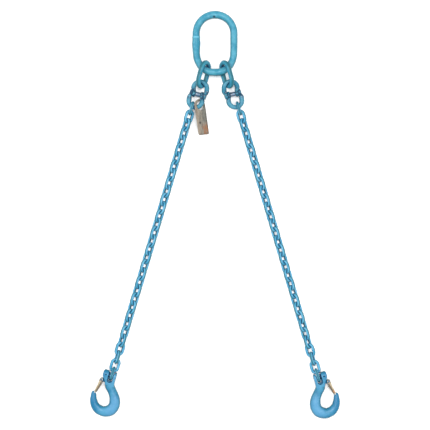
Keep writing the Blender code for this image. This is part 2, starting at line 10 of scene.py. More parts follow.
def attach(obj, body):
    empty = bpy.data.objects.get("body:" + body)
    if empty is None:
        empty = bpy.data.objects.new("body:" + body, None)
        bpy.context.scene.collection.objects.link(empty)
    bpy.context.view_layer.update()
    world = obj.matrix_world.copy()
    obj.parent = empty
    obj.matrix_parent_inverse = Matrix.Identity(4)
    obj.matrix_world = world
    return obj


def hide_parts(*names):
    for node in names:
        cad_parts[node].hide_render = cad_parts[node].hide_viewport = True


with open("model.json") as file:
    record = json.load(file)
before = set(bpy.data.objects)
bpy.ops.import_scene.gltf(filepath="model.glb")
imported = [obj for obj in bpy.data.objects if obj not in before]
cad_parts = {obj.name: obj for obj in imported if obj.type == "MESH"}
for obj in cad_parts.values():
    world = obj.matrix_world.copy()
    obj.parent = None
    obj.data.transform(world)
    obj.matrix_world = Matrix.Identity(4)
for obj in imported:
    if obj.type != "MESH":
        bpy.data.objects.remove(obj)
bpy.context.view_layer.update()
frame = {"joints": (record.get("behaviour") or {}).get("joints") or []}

MM = 0.001
LEFT, RIGHT = -1, 1
SIDES = ((LEFT, "left"), (RIGHT, "right"))

# ---- the frame's own measures, which place every piece
GAP = 0.3 * MM
MASTER_WIRE = 10.0 * MM
SUB_WIRE = 6.5 * MM
BOW_WIRE = 4.6 * MM
CHAIN_WIRE = 4.2 * MM
MASTER_RADIUS = 52.0 * MM
MASTER_STRAIGHT = 29.5 * MM
HANG_ANGLE = 33.5
SUB_RADIUS = 21.0 * MM
SUB_STRAIGHT = 12.5 * MM
SUB_LEAN = 15.0
SUB_ROLL = -62.0
SUB_BEYOND_MASTER = 12.6 * MM
SUB_SLACK = 1.4 * MM
BOW_RADIUS = 18.5 * MM
BOW_STRAIGHT = 18.5 * MM
BOW_OFFSET = -2.5 * MM
COUPLING_BORE = 4.6 * MM
COUPLING_LEAN = {LEFT: 14.5, RIGHT: 13.5}
COUPLING_ROLL = 7.0
UPPER_RISE = 15.2
LOWER_RISE = 1.0
CHAIN_SLACK = 1.3 * MM
SUB_ON_BOW = {LEFT: 2.0, RIGHT: -6.0}
CHAIN_ON_BOW = {LEFT: 17.0, RIGHT: 14.0}
TAG_WIDTH = 37.0 * MM
TAG_LENGTH = 99.0 * MM
TAG_THICKNESS = 2.4 * MM
TAG_HOLE = 12.0 * MM
TAG_RIM = 6.0 * MM
TAG_ON_BOW = -56.0
TAG_HEIGHT = 15.0 * MM
TAG_LEAN = -8.0
TAG_ROLL = -40.0
TAG_PITCH = -0.8
LINKS = 33
PITCH = 24.0 * MM
LINK_RADIUS = 9.9 * MM
FUSED = 7.0 * MM
LOOSE = 2 * CHAIN_WIRE + GAP + 0.2 * MM
LEG_SLACK = {LEFT: 0.28 * MM, RIGHT: 0.0}
LINK_STRAIGHT = (PITCH + (FUSED + LOOSE) / 2) / 2 - LINK_RADIUS
FUSED_SPACING = 2 * (LINK_STRAIGHT + LINK_RADIUS) - FUSED
CHAIN_LEAN = {LEFT: 16.58, RIGHT: 16.42}
LINK_ROLL = 45.0
END_HEIGHT = LINK_RADIUS + CHAIN_WIRE + 0.1 * MM
START_TWIST = (45.0, 12.0, 3.0, 0.0, 0.0)
END_TWIST = (45.0, 36.0, 27.0, 18.0, 9.0)
END_FALL = 1.2
HOOK_FLATNESS = 0.74
HOOK_LEAN = 17.0
HOOK_BELLY = 15.7 * HOOK_FLATNESS * MM
HOOK_BELLY_REACH = 89.8 * MM
EAR_INSIDE = -12.9 * MM
EAR_OUTSIDE = 24.6 * MM
SLOT_FLOOR = -12.0 * MM
HOOK_PIN = 4.5 * MM
ROLL_PIN_X = 16.0 * MM
LATCH_PIVOT = (24.6 * MM, -16.8 * MM)
LATCH_LEAN = 6.8

OWN_PLACE = "own_place"  # each vertex's place in its piece's own frame, for the materials
# how sideways each vertex faces, which the paints use to paint shade on the pieces' sides
SIDE_SHADE_WEIGHT = "side_shade_weight"  # how much each vertex looks sideways in its piece's own frame

# ---- the real pieces' finer measures
LINK_WIRE = 4.05 * MM  # round wire
LINK_UP = 0.7 * MM  # the links sit this far up their leg, shared out between both ends
STAMP = Vector((-2.5 * MM, MASTER_STRAIGHT + MASTER_RADIUS - 7.6 * MM, 7.6 * MM))
WELD_AT = 18.0 * MM  # the master link's weld, up its left leg
LUG_RADIUS = 9.7 * MM
LUG_SPANS = ((-23.4, -15.3), (7.6, 14.9))  # the coupling's lugs along their pin, in mm
ROLL_PIN_BORE = 1.95 * MM
LATCH_BORE = 2.2 * MM
LATCH_LUG = 4.9 * MM

# ---- the view
IMAGE_WIDTH = 430
VIEW_SCALE = 2.76 * MM  # across one step of the image's width, at the floor
FOCAL_LENGTH = 200.0
SENSOR_WIDTH = 36.0
CAMERA_DOWN = -0.5 * MM
CAMERA_LIFT = 12 * MM


# ---------------------------------------------------------------- placing, as in the part


def turn(axis, degrees):
    return Matrix.Rotation(math.radians(degrees), 4, axis)


def leg_frame(side, point, lean, pitch=0.0, roll=0.0):
    return Matrix.Translation(point) @ turn("Z", side * lean) @ turn("X", pitch) @ turn("Y", side * roll)


def facing(side):
    return turn("Y", 180.0 if side == LEFT else 0.0)


def bow_point(angle):
    a = math.radians(angle)
    return Vector((BOW_OFFSET + BOW_RADIUS * math.sin(a), BOW_STRAIGHT + BOW_RADIUS * math.cos(a), 0.0))


def master_place():
    reach = MASTER_STRAIGHT + MASTER_RADIUS * math.cos(math.radians(HANG_ANGLE))
    sub_height = SUB_WIRE + SUB_RADIUS * math.sin(math.radians(-SUB_ROLL))
    tip = MASTER_STRAIGHT + MASTER_RADIUS
    rise = math.asin((sub_height - MASTER_WIRE) / (tip + reach))
    spot = Matrix.Translation((0.0, tip, MASTER_WIRE + tip * math.sin(rise)))
    return spot @ turn("X", -math.degrees(rise))


def sub_wire(side, master):
    angle = math.radians(HANG_ANGLE)
    across = side * MASTER_RADIUS * math.sin(angle)
    return master @ Vector((across, -MASTER_STRAIGHT - MASTER_RADIUS * math.cos(angle), 0.0))


def sub_place(side, wire):
    return leg_frame(side, wire, SUB_LEAN, 0.0, SUB_ROLL) @ Matrix.Translation((0.0, -SUB_BEYOND_MASTER, 0.0))


def coupling_places(side, sub):
    """The upper half's, the load pin's and the lower half's frames."""
    seat = SUB_STRAIGHT + SUB_RADIUS - SUB_WIRE - BOW_WIRE - SUB_SLACK
    held = sub @ Vector((0.0, -seat, 0.0))
    flat = turn("Z", side * COUPLING_LEAN[side]) @ turn("Y", side * COUPLING_ROLL) @ facing(side)
    climb = turn("X", side * UPPER_RISE)
    pin = Matrix.Translation(held - (flat @ climb) @ bow_point(SUB_ON_BOW[side])) @ flat
    return pin @ climb, pin, pin @ turn("X", -side * LOWER_RISE) @ turn("Z", 180)


def tag_place(lower):
    hole = lower @ bow_point(-TAG_ON_BOW)
    hole.z = TAG_HEIGHT
    return leg_frame(LEFT, hole, TAG_LEAN, TAG_PITCH, TAG_ROLL)


def link_rolls():
    rolls = [LINK_ROLL + 90.0 * k for k in range(LINKS)]
    for k, (first, last) in enumerate(zip(START_TWIST, END_TWIST)):
        rolls[k] += first
        rolls[-1 - k] += last
    return rolls


def segment_pitches(segments, start):
    reach = 4 * (LINK_STRAIGHT + LINK_RADIUS) - FUSED - LOOSE
    level = LINK_RADIUS * math.sin(math.radians(LINK_ROLL)) + CHAIN_WIRE
    left_over = reach * math.sin(math.radians(END_FALL))
    pitches = [0.0] * segments
    pitches[0] = END_FALL
    pitches[1] = math.degrees(math.asin((start - left_over - level) / reach))
    pitches[-2] = -END_FALL
    pitches[-3] = -math.degrees(math.asin((END_HEIGHT - left_over - level) / reach))
    return pitches


def chain_places(side, lower):
    """Each link's frame, evenly spaced, with its segment's number, and the frame of the chain's end."""
    rolls = link_rolls()
    starts = list(range(0, LINKS, 2))
    half = LINK_STRAIGHT + LINK_RADIUS
    shift = (FUSED_SPACING - link_spacing(side)) / 2
    crown = lower @ bow_point(-CHAIN_ON_BOW[side])
    clearance = BOW_WIRE + CHAIN_WIRE + GAP + CHAIN_SLACK
    places = []
    for number, (first, pitch) in enumerate(zip(starts, segment_pitches(len(starts), crown.z))):
        lean = CHAIN_LEAN[side]
        start = leg_frame(side, crown, lean, pitch) @ Vector((0.0, clearance, 0.0))
        level = leg_frame(side, start, lean, pitch)
        centre = -half + LINK_UP - shift
        rolled = turn("Y", side * rolls[first])
        places.append((number + 1, level @ Matrix.Translation((0, centre, 0)) @ rolled))
        reach = 2 * half
        if first + 1 < LINKS:
            centre = -half - FUSED_SPACING + LINK_UP + shift
            rolled = turn("Y", side * rolls[first + 1])
            places.append((number + 1, level @ Matrix.Translation((0, centre, 0)) @ rolled))
            reach = 4 * half - FUSED
        crown = level @ Vector((0.0, -reach, 0.0))
        clearance = LOOSE + LEG_SLACK[side]
    return places, leg_frame(side, crown, CHAIN_LEAN[side])


def link_spacing(side):
    loose = 2 * (LINK_STRAIGHT + LINK_RADIUS) - LOOSE - LEG_SLACK[side]
    return (FUSED_SPACING + loose) / 2


def hook_place(side, end):
    inside = CHAIN_WIRE + HOOK_PIN + GAP
    pin = (end @ Matrix.Translation((0.0, inside, 0.0))).to_translation()
    fall = math.degrees(math.asin((pin.z - HOOK_BELLY) / HOOK_BELLY_REACH))
    return leg_frame(side, pin, HOOK_LEAN, fall) @ facing(side)


# ---------------------------------------------------------------- meshes


def evaluated_mesh(thing):
    bpy.context.scene.collection.objects.link(thing)
    depsgraph = bpy.context.evaluated_depsgraph_get()
    mesh = bpy.data.meshes.new_from_object(thing.evaluated_get(depsgraph))
    bpy.data.objects.remove(thing)
    return mesh


def modified(mesh, *steps):
    """The mesh after some modifiers, each a type with its settings."""
    thing = bpy.data.objects.new("work", mesh)
    for kind, settings in steps:
        modifier = thing.modifiers.new(kind.lower(), kind)
        for key, value in settings.items():
            setattr(modifier, key, value)
    return evaluated_mesh(thing)


def mesh_from(verts, faces):
    mesh = bpy.data.meshes.new("shape")
    mesh.from_pydata(verts, [], faces)
    shape = bmesh.new()
    shape.from_mesh(mesh)
    bmesh.ops.remove_doubles(shape, verts=shape.verts, dist=1e-7)
    bmesh.ops.recalc_face_normals(shape, faces=shape.faces)
    shape.to_mesh(mesh)
    shape.free()
    return mesh


def sweep(points, wide, high, sides=40, closed=True, squareness=0.0):
    """A wire along a flat path in X and Y. Its section is wide in the path's plane and high along Z."""
    count = len(points)
    verts = []
    for i, point in enumerate(points):
        before = points[i - 1] if closed or i else point
        after = points[(i + 1) % count] if closed or i + 1 < count else point
        along = (after - before).normalized()
        across = Vector((along.y, -along.x, 0.0))
        for k in range(sides):
            a = 2 * math.pi * k / sides
            u, v = math.cos(a), math.sin(a)
            swell = 1.0 + squareness * (1.0 - u ** 4 - v ** 4)
            verts.append(point + (across * wide[i] * u + Vector((0, 0, 1)) * high[i] * v) * swell)
    faces = []
    for i in range(count if closed else count - 1):
        a, b = i * sides, ((i + 1) % count) * sides
        faces += [(a + k, a + (k + 1) % sides, b + (k + 1) % sides, b + k) for k in range(sides)]
    if not closed:
        faces += [tuple(range(sides))[::-1], tuple(range((count - 1) * sides, count * sides))]
    return mesh_from(verts, faces)


def arc(centre, radius, start, end, steps):
    angles = [math.radians(start + (end - start) * i / steps) for i in range(steps + 1)]
    return [Vector((centre[0] + radius * math.cos(a), centre[1] + radius * math.sin(a), 0.0)) for a in angles]


def oblong(straight, radius, round_steps, straight_steps):
    """An evenly divided oblong centre line, longest along Y, from the right side upwards."""
    rise = [Vector((radius, -straight + 2 * straight * i / straight_steps, 0)) for i in range(straight_steps)]
    fall = [Vector((-p.x, -p.y, 0)) for p in rise]
    top = arc((0, straight), radius, 0, 180, round_steps)[:-1]
    bottom = arc((0, -straight), radius, 180, 360, round_steps)[:-1]
    return rise + top + fall + bottom


def smooth(stations, between):
    """A Catmull-Rom curve through some stations, with new ones between each two."""
    rows = [Vector(s) for s in stations]
    rows = [2 * rows[0] - rows[1], *rows, 2 * rows[-1] - rows[-2]]
    out = []
    for a, b, c, d in zip(rows, rows[1:], rows[2:], rows[3:]):
        for i in range(between + 1):
            t = i / (between + 1)
            bend = (1 + 2 * t) * (1 - t) ** 2 * b + t * t * (3 - 2 * t) * c
            out.append(bend + t * (1 - t) ** 2 * (c - a) / 2 - t * t * (1 - t) * (d - b) / 2)
    return [*out, rows[-2]]


def wire(points, radius, sides_step=4):
    """A thin round wire along any path, with closed ends."""
    curve = bpy.data.curves.new("wire", "CURVE")
    curve.dimensions = "3D"
    curve.bevel_depth = radius
    curve.bevel_resolution = sides_step
    curve.use_fill_caps = True
    spline = curve.splines.new("POLY")
    spline.points.add(len(points) - 1)
    for knot, point in zip(spline.points, points):
        knot.co = (*point, 1.0)
    mesh = evaluated_mesh(bpy.data.objects.new("wire", curve))
    return mesh_from([v.co.copy() for v in mesh.vertices], [tuple(p.vertices) for p in mesh.polygons])


def prism(outline, low, high):
    """A flat outline in X and Y between two heights."""
    count = len(outline)
    verts = [Vector((p[0], p[1], low)) for p in outline] + [Vector((p[0], p[1], high)) for p in outline]
    faces = [tuple(range(count))[::-1], tuple(range(count, 2 * count))]
    faces += [(i, (i + 1) % count, count + (i + 1) % count, count + i) for i in range(count)]
    return mesh_from(verts, faces)


def lathe(profile, sides=48):
    """A closed profile of (radius, height) turned about Z, with a point on the axis at each end."""
    verts, faces = [], []
    for radius, height in profile:
        for k in range(sides):
            a = 2 * math.pi * k / sides
            verts.append(Vector((radius * math.cos(a), radius * math.sin(a), height)))
    for i in range(len(profile) - 1):
        a, b = i * sides, (i + 1) * sides
        faces += [(a + k, a + (k + 1) % sides, b + (k + 1) % sides, b + k) for k in range(sides)]
    shape = bmesh.new()
    mesh = bpy.data.meshes.new("lathe")
    mesh.from_pydata(verts, [], faces)
    shape.from_mesh(mesh)
    bmesh.ops.remove_doubles(shape, verts=shape.verts, dist=1e-7)
    bmesh.ops.dissolve_degenerate(shape, edges=shape.edges, dist=1e-8)
    bmesh.ops.recalc_face_normals(shape, faces=shape.faces)
    shape.to_mesh(mesh)
    shape.free()
    return mesh


def chamfered_bar(radius, low, high, chamfer, sides=48):
    return lathe([(0, low), (radius - chamfer, low), (radius, low + chamfer), (radius, high - chamfer),
                  (radius - chamfer, high), (0, high)], sides)


def placed(mesh, matrix):
    mesh.transform(matrix)
    return mesh


def joined(*meshes):
    shape = bmesh.new()
    for mesh in meshes:
        shape.from_mesh(mesh)
    out = bpy.data.meshes.new("joined")
    shape.to_mesh(out)
    shape.free()
    return out


def cut(mesh, *tools):
    """The mesh with some others taken away from it."""
    for tool in tools:
        holder = bpy.data.objects.new("tool", tool)
        bpy.context.scene.collection.objects.link(holder)
        mesh = modified(mesh, ("BOOLEAN", {"operation": "DIFFERENCE", "object": holder, "solver": "EXACT"}))
        bpy.data.objects.remove(holder)
    return mesh


def both(mesh, tool):
    holder = bpy.data.objects.new("tool", tool)
    bpy.context.scene.collection.objects.link(holder)
    mesh = modified(mesh, ("BOOLEAN", {"operation": "INTERSECT", "object": holder, "solver": "EXACT"}))
    bpy.data.objects.remove(holder)
    return mesh


def cast(mesh, voxel, passes):
    """One skin round all the mesh's parts, its inner corners filled and its edges rounded as a forging's."""
    return modified(
        mesh,
        ("REMESH", {"mode": "VOXEL", "voxel_size": voxel}),
        ("SMOOTH", {"factor": 0.5, "iterations": passes}),
    )


def rippled(mesh, depth, size, seed):
    """Small unevenness of a hand-worked surface."""
    offset = Vector((seed * 3.1, seed * 1.7, seed * 0.9))
    normals = [v.normal.copy() for v in mesh.vertices]
    for vertex, normal in zip(mesh.vertices, normals):
        vertex.co += normal * depth * noise.noise(vertex.co / size + offset)
    mesh.update()
    return mesh


# ---------------------------------------------------------------- materials


class Paint:
    """A node material being built: every helper adds one node and returns its output."""

    def __init__(self, name, metallic=0.0, coat=0.0):
        self.material = bpy.data.materials.new(name)
        self.material.use_nodes = True
        self.nodes = self.material.node_tree.nodes
        self.links = self.material.node_tree.links
        self.shader = self.nodes["Principled BSDF"]
        self.shader.inputs["Metallic"].default_value = metallic
        self.shader.inputs["Coat Weight"].default_value = coat
        self.shader.inputs["Coat Roughness"].default_value = 0.16
        coordinates = self.node("ShaderNodeAttribute", attribute_name=OWN_PLACE).outputs["Vector"]
        number = self.nodes.new("ShaderNodeObjectInfo").outputs["Object Index"]
        spread = self.node("ShaderNodeVectorMath", operation="SCALE")
        spread.inputs[0].default_value = (0.137, 0.071, 0.053)
        self.links.new(number, spread.inputs["Scale"])
        moved = self.node("ShaderNodeVectorMath", operation="ADD")
        self.links.new(coordinates, moved.inputs[0])
        self.links.new(spread.outputs[0], moved.inputs[1])
        self.object_space = coordinates
        self.space = moved.outputs[0]

    def node(self, kind, **settings):
        made = self.nodes.new(kind)
        for key, value in settings.items():
            setattr(made, key, value)
        return made

    def feed(self, socket, value):
        if isinstance(value, bpy.types.NodeSocket):
            self.links.new(value, socket)
        else:
            socket.default_value = value

    def noise(self, size, detail=3.0, rough=0.55, stretch=(1, 1, 1), shift=0.0):
        """Cloudy noise, from 0 to 1, whose features are about the given size in metres."""
        spot = self.node("ShaderNodeMapping")
        self.links.new(self.space, spot.inputs["Vector"])
        spot.inputs["Scale"].default_value = stretch
        spot.inputs["Location"].default_value = (shift, shift * 0.7, -shift)
        made = self.node("ShaderNodeTexNoise")
        self.links.new(spot.outputs[0], made.inputs["Vector"])
        made.inputs["Scale"].default_value = 1.0 / size
        made.inputs["Detail"].default_value = detail
        made.inputs["Roughness"].default_value = rough
        return made.outputs["Fac"]

    def ramp(self, fac, low, high):
        """0 below low, 1 above high, smooth between."""
        made = self.node("ShaderNodeMapRange", interpolation_type="SMOOTHSTEP")
        self.links.new(fac, made.inputs["Value"])
        made.inputs["From Min"].default_value = low
        made.inputs["From Max"].default_value = high
        return made.outputs["Result"]

    def math(self, operation, a, b=0.0):
        made = self.node("ShaderNodeMath", operation=operation)
        self.feed(made.inputs[0], a)
        self.feed(made.inputs[1], b)
        return made.outputs[0]

    def mix(self, fac, a, b):
        made = self.node("ShaderNodeMix", data_type="RGBA")
        self.feed(made.inputs["Factor"], fac)
        for socket, value in ((made.inputs["A"], a), (made.inputs["B"], b)):
            self.feed(socket, (*value, 1.0) if isinstance(value, tuple) else value)
        return made.outputs["Result"]

    def blend_value(self, fac, a, b):
        made = self.node("ShaderNodeMix", data_type="FLOAT")
        self.feed(made.inputs["Factor"], fac)
        self.feed(made.inputs["A"], a)
        self.feed(made.inputs["B"], b)
        return made.outputs["Result"]

    def edges(self, low, high):
        """1 on outer edges and ridges, 0 elsewhere."""
        return self.ramp(self.node("ShaderNodeNewGeometry").outputs["Pointiness"], low, high)

    def corners(self, reach):
        """1 in the open, falling to 0 deep in corners and crossings."""
        made = self.node("ShaderNodeAmbientOcclusion", samples=6)
        made.inputs["Distance"].default_value = reach
        return made.outputs["AO"]

    def near(self, point, radius, soft):
        """1 within a radius of a point in the piece's own frame, 0 outside."""
        gap = self.node("ShaderNodeVectorMath", operation="DISTANCE")
        self.links.new(self.object_space, gap.inputs[0])
        gap.inputs[1].default_value = point
        return self.math("SUBTRACT", 1.0, self.ramp(gap.outputs["Value"], radius - soft, radius + soft))

    def bump(self, height, depth, strength=1.0, under=None):
        made = self.node("ShaderNodeBump")
        made.inputs["Strength"].default_value = strength
        made.inputs["Distance"].default_value = depth
        self.links.new(height, made.inputs["Height"])
        if under is not None:
            self.links.new(under, made.inputs["Normal"])
        return made.outputs["Normal"]

    def finish(self, colour, roughness, normal=None, metallic=None):
        self.links.new(colour, self.shader.inputs["Base Color"])
        self.links.new(roughness, self.shader.inputs["Roughness"])
        if normal is not None:
            self.links.new(normal, self.shader.inputs["Normal"])
        if metallic is not None:
            self.links.new(metallic, self.shader.inputs["Metallic"])
        return self.material


def blue_paint(name, dark, light, wear=0.5, corner_shade=0.6, extra=None):
    """Sprayed light blue enamel over a scaly forging: uneven colour, thin worn edges, painted shade in the
    corners and on the sides.
    """
    p = Paint(name, coat=0.05)
    p.shader.inputs["Specular IOR Level"].default_value = 0.24
    clouds = p.noise(0.020, 3.0, 0.6)
    patches = p.noise(0.0060, 4.0, 0.65, shift=4.0)
    grain = p.noise(0.0011, 3.0, 0.7, shift=9.0)
    colour = p.mix(p.ramp(clouds, 0.36, 0.64), dark, light)
    green = (dark[0] + 0.020, light[1] * 0.98, dark[2] * 0.92)
    colour = p.mix(p.math("MULTIPLY", p.ramp(patches, 0.52, 0.70), 0.60), colour, green)
    pale = tuple(channel * 1.25 + 0.02 for channel in light)
    colour = p.mix(p.math("MULTIPLY", p.ramp(patches, 0.46, 0.30), 0.55), colour, pale)
    if extra:
        colour = extra(p, colour)
    # painted shade: surfaces that face sideways are darkened towards a dark teal
    side = p.node("ShaderNodeAttribute", attribute_name=SIDE_SHADE_WEIGHT).outputs["Fac"]
    colour = p.mix(p.math("MULTIPLY", p.ramp(side, 0.08, 0.72), 0.88), colour, (0.008, 0.088, 0.110))
    colour = p.mix(p.math("MULTIPLY", p.ramp(grain, 0.58, 0.76), 0.35), colour, (0.006, 0.090, 0.170))
    # painted shade: corners and crossings darkened towards navy, with the roughness raised there
    painted_corner_shade = p.math("MULTIPLY", p.ramp(p.corners(0.014), 0.70, 0.25), corner_shade)
    colour = p.mix(painted_corner_shade, colour, (0.005, 0.036, 0.110))
    worn = p.math("MULTIPLY", p.edges(0.53, 0.60), p.ramp(p.noise(0.0035, 4.0, 0.7, shift=2.0), 0.48, 0.62))
    colour = p.mix(p.math("MULTIPLY", worn, wear), colour, (0.24, 0.34, 0.38))
    roughness = p.blend_value(p.ramp(patches, 0.35, 0.7), 0.36, 0.52)
    roughness = p.blend_value(painted_corner_shade, roughness, 0.75)
    scale = p.bump(p.noise(0.0042, 2.0, 0.5, shift=6.0), 0.00045, 0.8)
    return p.finish(colour, roughness, p.bump(grain, 0.00010, 0.7, scale))


def stamped(p, colour):
    """The dark punched spot on the master link's crown and the pale band of its weld."""
    place = p.node("ShaderNodeSeparateXYZ")
    p.links.new(p.object_space, place.inputs[0])
    x, y = place.outputs["X"], place.outputs["Y"]
    off = p.math("ABSOLUTE", p.math("SUBTRACT", y, WELD_AT))
    band = p.math("MULTIPLY", p.ramp(off, 3.2 * MM, 1.8 * MM), p.ramp(x, -20 * MM, -40 * MM))
    colour = p.mix(p.math("MULTIPLY", band, 0.75), colour, (0.110, 0.360, 0.480))
    mark = p.near(STAMP, 3.6 * MM, 1.6 * MM)
    return p.mix(p.math("MULTIPLY", mark, 0.92), colour, (0.004, 0.012, 0.030))


def mottled(p, colour):
    """Scale and bare patches round the coupling's lugs."""
    axial = p.node("ShaderNodeSeparateXYZ")
    p.links.new(p.object_space, axial.inputs[0])
    by_pin = p.ramp(axial.outputs["Y"], 22 * MM, 11 * MM)
    scaly = p.math("MULTIPLY", p.ramp(p.noise(0.0085, 4.0, 0.75, shift=12.0), 0.44, 0.50), by_pin)
    colour = p.mix(p.math("MULTIPLY", scaly, 0.90), colour, (0.003, 0.018, 0.055))
    bare = p.math("MULTIPLY", p.ramp(p.noise(0.0070, 4.0, 0.7, shift=15.0), 0.58, 0.63), by_pin)
    return p.mix(p.math("MULTIPLY", bare, 0.60), colour, (0.40, 0.44, 0.50))


def tip_blue_and_highlights(p, colour):
    """Deeper blue towards the hook's point side, with painted highlights: a paler band along the crest of each
    face and a paler patch on the back of its bowl.
    """
    place = p.node("ShaderNodeSeparateXYZ")
    p.links.new(p.object_space, place.inputs[0])
    x, y = place.outputs["X"], place.outputs["Y"]
    # painted highlight: a paler band along the crest of each face
    crest_highlight = p.ramp(p.math("ABSOLUTE", place.outputs["Z"]), 7.5 * MM, 11.5 * MM)
    colour = p.mix(p.math("MULTIPLY", crest_highlight, 0.45), colour, (0.085, 0.270, 0.450))
    colour = p.mix(p.math("MULTIPLY", p.ramp(x, 0.0, 28 * MM), 0.85), colour, (0.001, 0.112, 0.235))
    # painted highlight: a paler patch on the back of the bowl
    back_highlight = p.math("MULTIPLY", p.ramp(x, -6 * MM, -22 * MM), p.ramp(y, -36 * MM, -60 * MM))
    return p.mix(p.math("MULTIPLY", back_highlight, 0.35), colour, (0.080, 0.240, 0.420))


def bare_steel(name, tint, dirt_tint, paint_left=0.0):
    p = Paint(name, metallic=1.0)
    blotch = p.noise(0.0045, 4.0, 0.65)
    fine = p.noise(0.0009, 3.0, 0.7, shift=3.0)
    colour = p.mix(p.ramp(blotch, 0.42, 0.66), tint, dirt_tint)
    colour = p.mix(p.math("MULTIPLY", p.ramp(fine, 0.55, 0.75), 0.4), colour, (0.05, 0.05, 0.055))
    flecks = p.math("MULTIPLY", p.ramp(p.noise(0.003, 4.0, 0.7, shift=7.0), 0.44, 0.50), paint_left)
    colour = p.mix(flecks, colour, (0.012, 0.110, 0.220))
    # painted shade: darker in corners and crossings
    dark = p.ramp(p.corners(0.006), 0.6, 0.2)
    colour = p.mix(p.math("MULTIPLY", dark, 0.8), colour, (0.02, 0.02, 0.025))
    metallic = p.math("SUBTRACT", 1.0, p.math("MULTIPLY", flecks, 0.9))
    roughness = p.blend_value(p.ramp(blotch, 0.4, 0.7), 0.28, 0.55)
    return p.finish(colour, roughness, p.bump(fine, 0.00008, 0.6), metallic)


def latch_zinc(name):
    """Yellow passivated zinc, dulled to cream, brown along its inner bend, with some rust near the tip."""
    p = Paint(name, metallic=0.30)
    blotch = p.noise(0.006, 3.0, 0.6)
    fine = p.noise(0.0008, 3.0, 0.7, shift=3.0)
    colour = p.mix(p.ramp(blotch, 0.35, 0.68), (0.240, 0.190, 0.105), (0.400, 0.340, 0.240))
    place = p.node("ShaderNodeSeparateXYZ")
    p.links.new(p.object_space, place.inputs[0])
    x, y = place.outputs["X"], place.outputs["Y"]
    # the inner edge slants towards the tip
    from_bend = p.math("ADD", p.math("ADD", x, p.math("MULTIPLY", y, 0.133)), 6.73 * MM)
    bend = p.math("MULTIPLY", p.ramp(from_bend, 5.6 * MM, 3.2 * MM), 0.92)
    colour = p.mix(bend, colour, (0.040, 0.027, 0.012))
    rust = p.math("MAXIMUM", p.math("MULTIPLY", p.near((0.0030, -0.0315, 0.006), 0.0034, 0.0022), 0.65),
                  p.math("MULTIPLY", p.ramp(p.noise(0.0035, 4.0, 0.7, shift=5.0), 0.60, 0.68), 0.35))
    colour = p.mix(rust, colour, (0.400, 0.150, 0.050))
    ring = p.math("MULTIPLY", p.ramp(y, -37.0 * MM, -39.0 * MM), 0.8)
    colour = p.mix(ring, colour, (0.42, 0.46, 0.46))
    # painted shade: darker in corners and crossings
    dark = p.math("MULTIPLY", p.ramp(p.corners(0.006), 0.65, 0.2), 0.75)
    colour = p.mix(dark, colour, (0.05, 0.035, 0.02))
    roughness = p.blend_value(p.math("MAXIMUM", rust, p.ramp(blotch, 0.4, 0.7)), 0.45, 0.65)
    metallic = p.blend_value(p.math("MAXIMUM", rust, bend), 0.30, 0.05)
    return p.finish(colour, roughness, p.bump(fine, 0.00006, 0.5), metallic)


def tag_steel(name):
    """Weathered sheet steel: streaks down its length, oil-dark patches and a rusted lower corner."""
    p = Paint(name, metallic=0.25)
    streaks = p.noise(0.0030, 4.0, 0.65, stretch=(1.0, 0.14, 1.0))
    broad = p.noise(0.012, 3.0, 0.55, stretch=(1.0, 0.35, 1.0), shift=2.0)
    speckle = p.noise(0.0028, 4.0, 0.7, shift=11.0)
    fine = p.noise(0.0009, 3.0, 0.7, shift=5.0)
    across = p.node("ShaderNodeSeparateXYZ")
    p.links.new(p.object_space, across.inputs[0])
    x, y = across.outputs["X"], across.outputs["Y"]
    colour = p.mix(p.ramp(streaks, 0.38, 0.62), (0.105, 0.096, 0.078), (0.265, 0.240, 0.190))
    colour = p.mix(p.math("MULTIPLY", p.ramp(speckle, 0.54, 0.66), 0.55), colour, (0.090, 0.105, 0.108))
    colour = p.mix(p.math("MULTIPLY", p.ramp(speckle, 0.44, 0.34), 0.45), colour, (0.370, 0.290, 0.225))
    colour = p.mix(p.math("MULTIPLY", p.ramp(x, 0.000, 0.010), 0.40), colour, (0.130, 0.145, 0.130))
    colour = p.mix(p.math("MULTIPLY", p.ramp(x, -0.004, -0.012), 0.35), colour, (0.360, 0.270, 0.200))
    colour = p.mix(p.math("MULTIPLY", p.ramp(broad, 0.55, 0.68), 0.50), colour, (0.055, 0.048, 0.040))
    stain = p.math("MULTIPLY", p.near((-0.0081, -0.047, 0.0012), 0.0036, 0.0022), 0.90)
    colour = p.mix(stain, colour, (0.018, 0.017, 0.016))
    torn = p.math("MULTIPLY", p.math("SUBTRACT", p.noise(0.0060, 4.0, 0.7, shift=13.0), 0.5), 40 * MM)
    corner = p.math("MULTIPLY", p.ramp(p.math("ADD", x, torn), -5 * MM, 3 * MM),
                    p.ramp(p.math("ADD", y, torn), -47 * MM, -56 * MM))
    eaten = p.noise(0.0042, 4.0, 0.7, stretch=(1.0, 0.4, 1.0), shift=8.0)
    rust = p.math("MULTIPLY", corner, p.ramp(eaten, 0.34, 0.56))
    colour = p.mix(p.math("MULTIPLY", rust, 0.85), colour, (0.255, 0.098, 0.032))
    burnt = p.math("MULTIPLY", corner, p.ramp(streaks, 0.56, 0.66))
    colour = p.mix(p.math("MULTIPLY", burnt, 0.70), colour, (0.080, 0.040, 0.025))
    # painted shade: the tag's right edge darkened
    right_edge_shade = p.ramp(x, 0.0140, 0.0160)
    colour = p.mix(p.math("MULTIPLY", right_edge_shade, 0.65), colour, (0.045, 0.040, 0.036))
    low = p.math("MULTIPLY", p.ramp(y, -0.072, -0.080), 0.35)
    colour = p.mix(low, colour, (0.07, 0.055, 0.045))
    roughness = p.blend_value(p.math("MAXIMUM", rust, p.ramp(streaks, 0.3, 0.7)), 0.46, 0.70)
    dents = p.bump(p.noise(0.009, 2.0, 0.5, shift=6.0), 0.0006, 0.6)
    return p.finish(colour, roughness, p.bump(fine, 0.00007, 0.6, dents), p.blend_value(rust, 0.25, 0.0))


# ---------------------------------------------------------------- shapes


def bell(x, middle, width):
    return math.exp(-(((x - middle) / width) ** 2))


